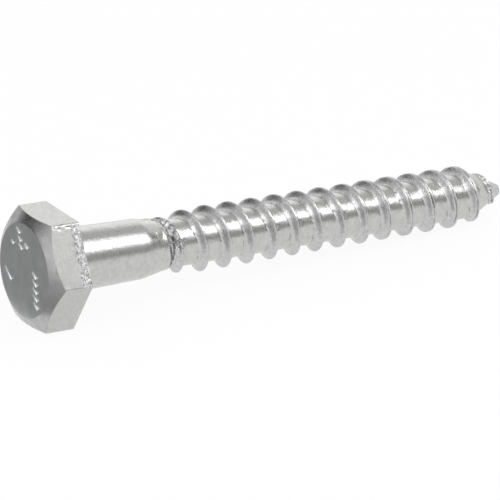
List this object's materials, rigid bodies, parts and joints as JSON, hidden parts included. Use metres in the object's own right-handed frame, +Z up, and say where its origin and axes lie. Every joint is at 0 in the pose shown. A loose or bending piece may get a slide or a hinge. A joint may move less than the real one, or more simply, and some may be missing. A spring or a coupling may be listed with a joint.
{
  "type": "lag screw",
  "caption": "Hexagon-head lag screw with a plain shank and a coarse right-hand wood thread down to a blunt gimlet point.",
  "frame": {"origin": "where the shank's axis leaves the bearing face under the head", "axes": "the screw lies at rest on its side: +Z is up from the surface, +X runs level from the head to the point, and the axis dips 3.56 degrees below +X, so that a head flat's edge and a thread crest touch the surface"},
  "size_m": [0.0656, 0.0148, 0.0132],
  "materials": {
    "zinc_plated_steel": "bright zinc plating over cold-forged steel, satin with fine pits"
  },
  "bodies": {
    "root": {"lag_screw": "zinc_plated_steel"}
  },
  "joints": []
}
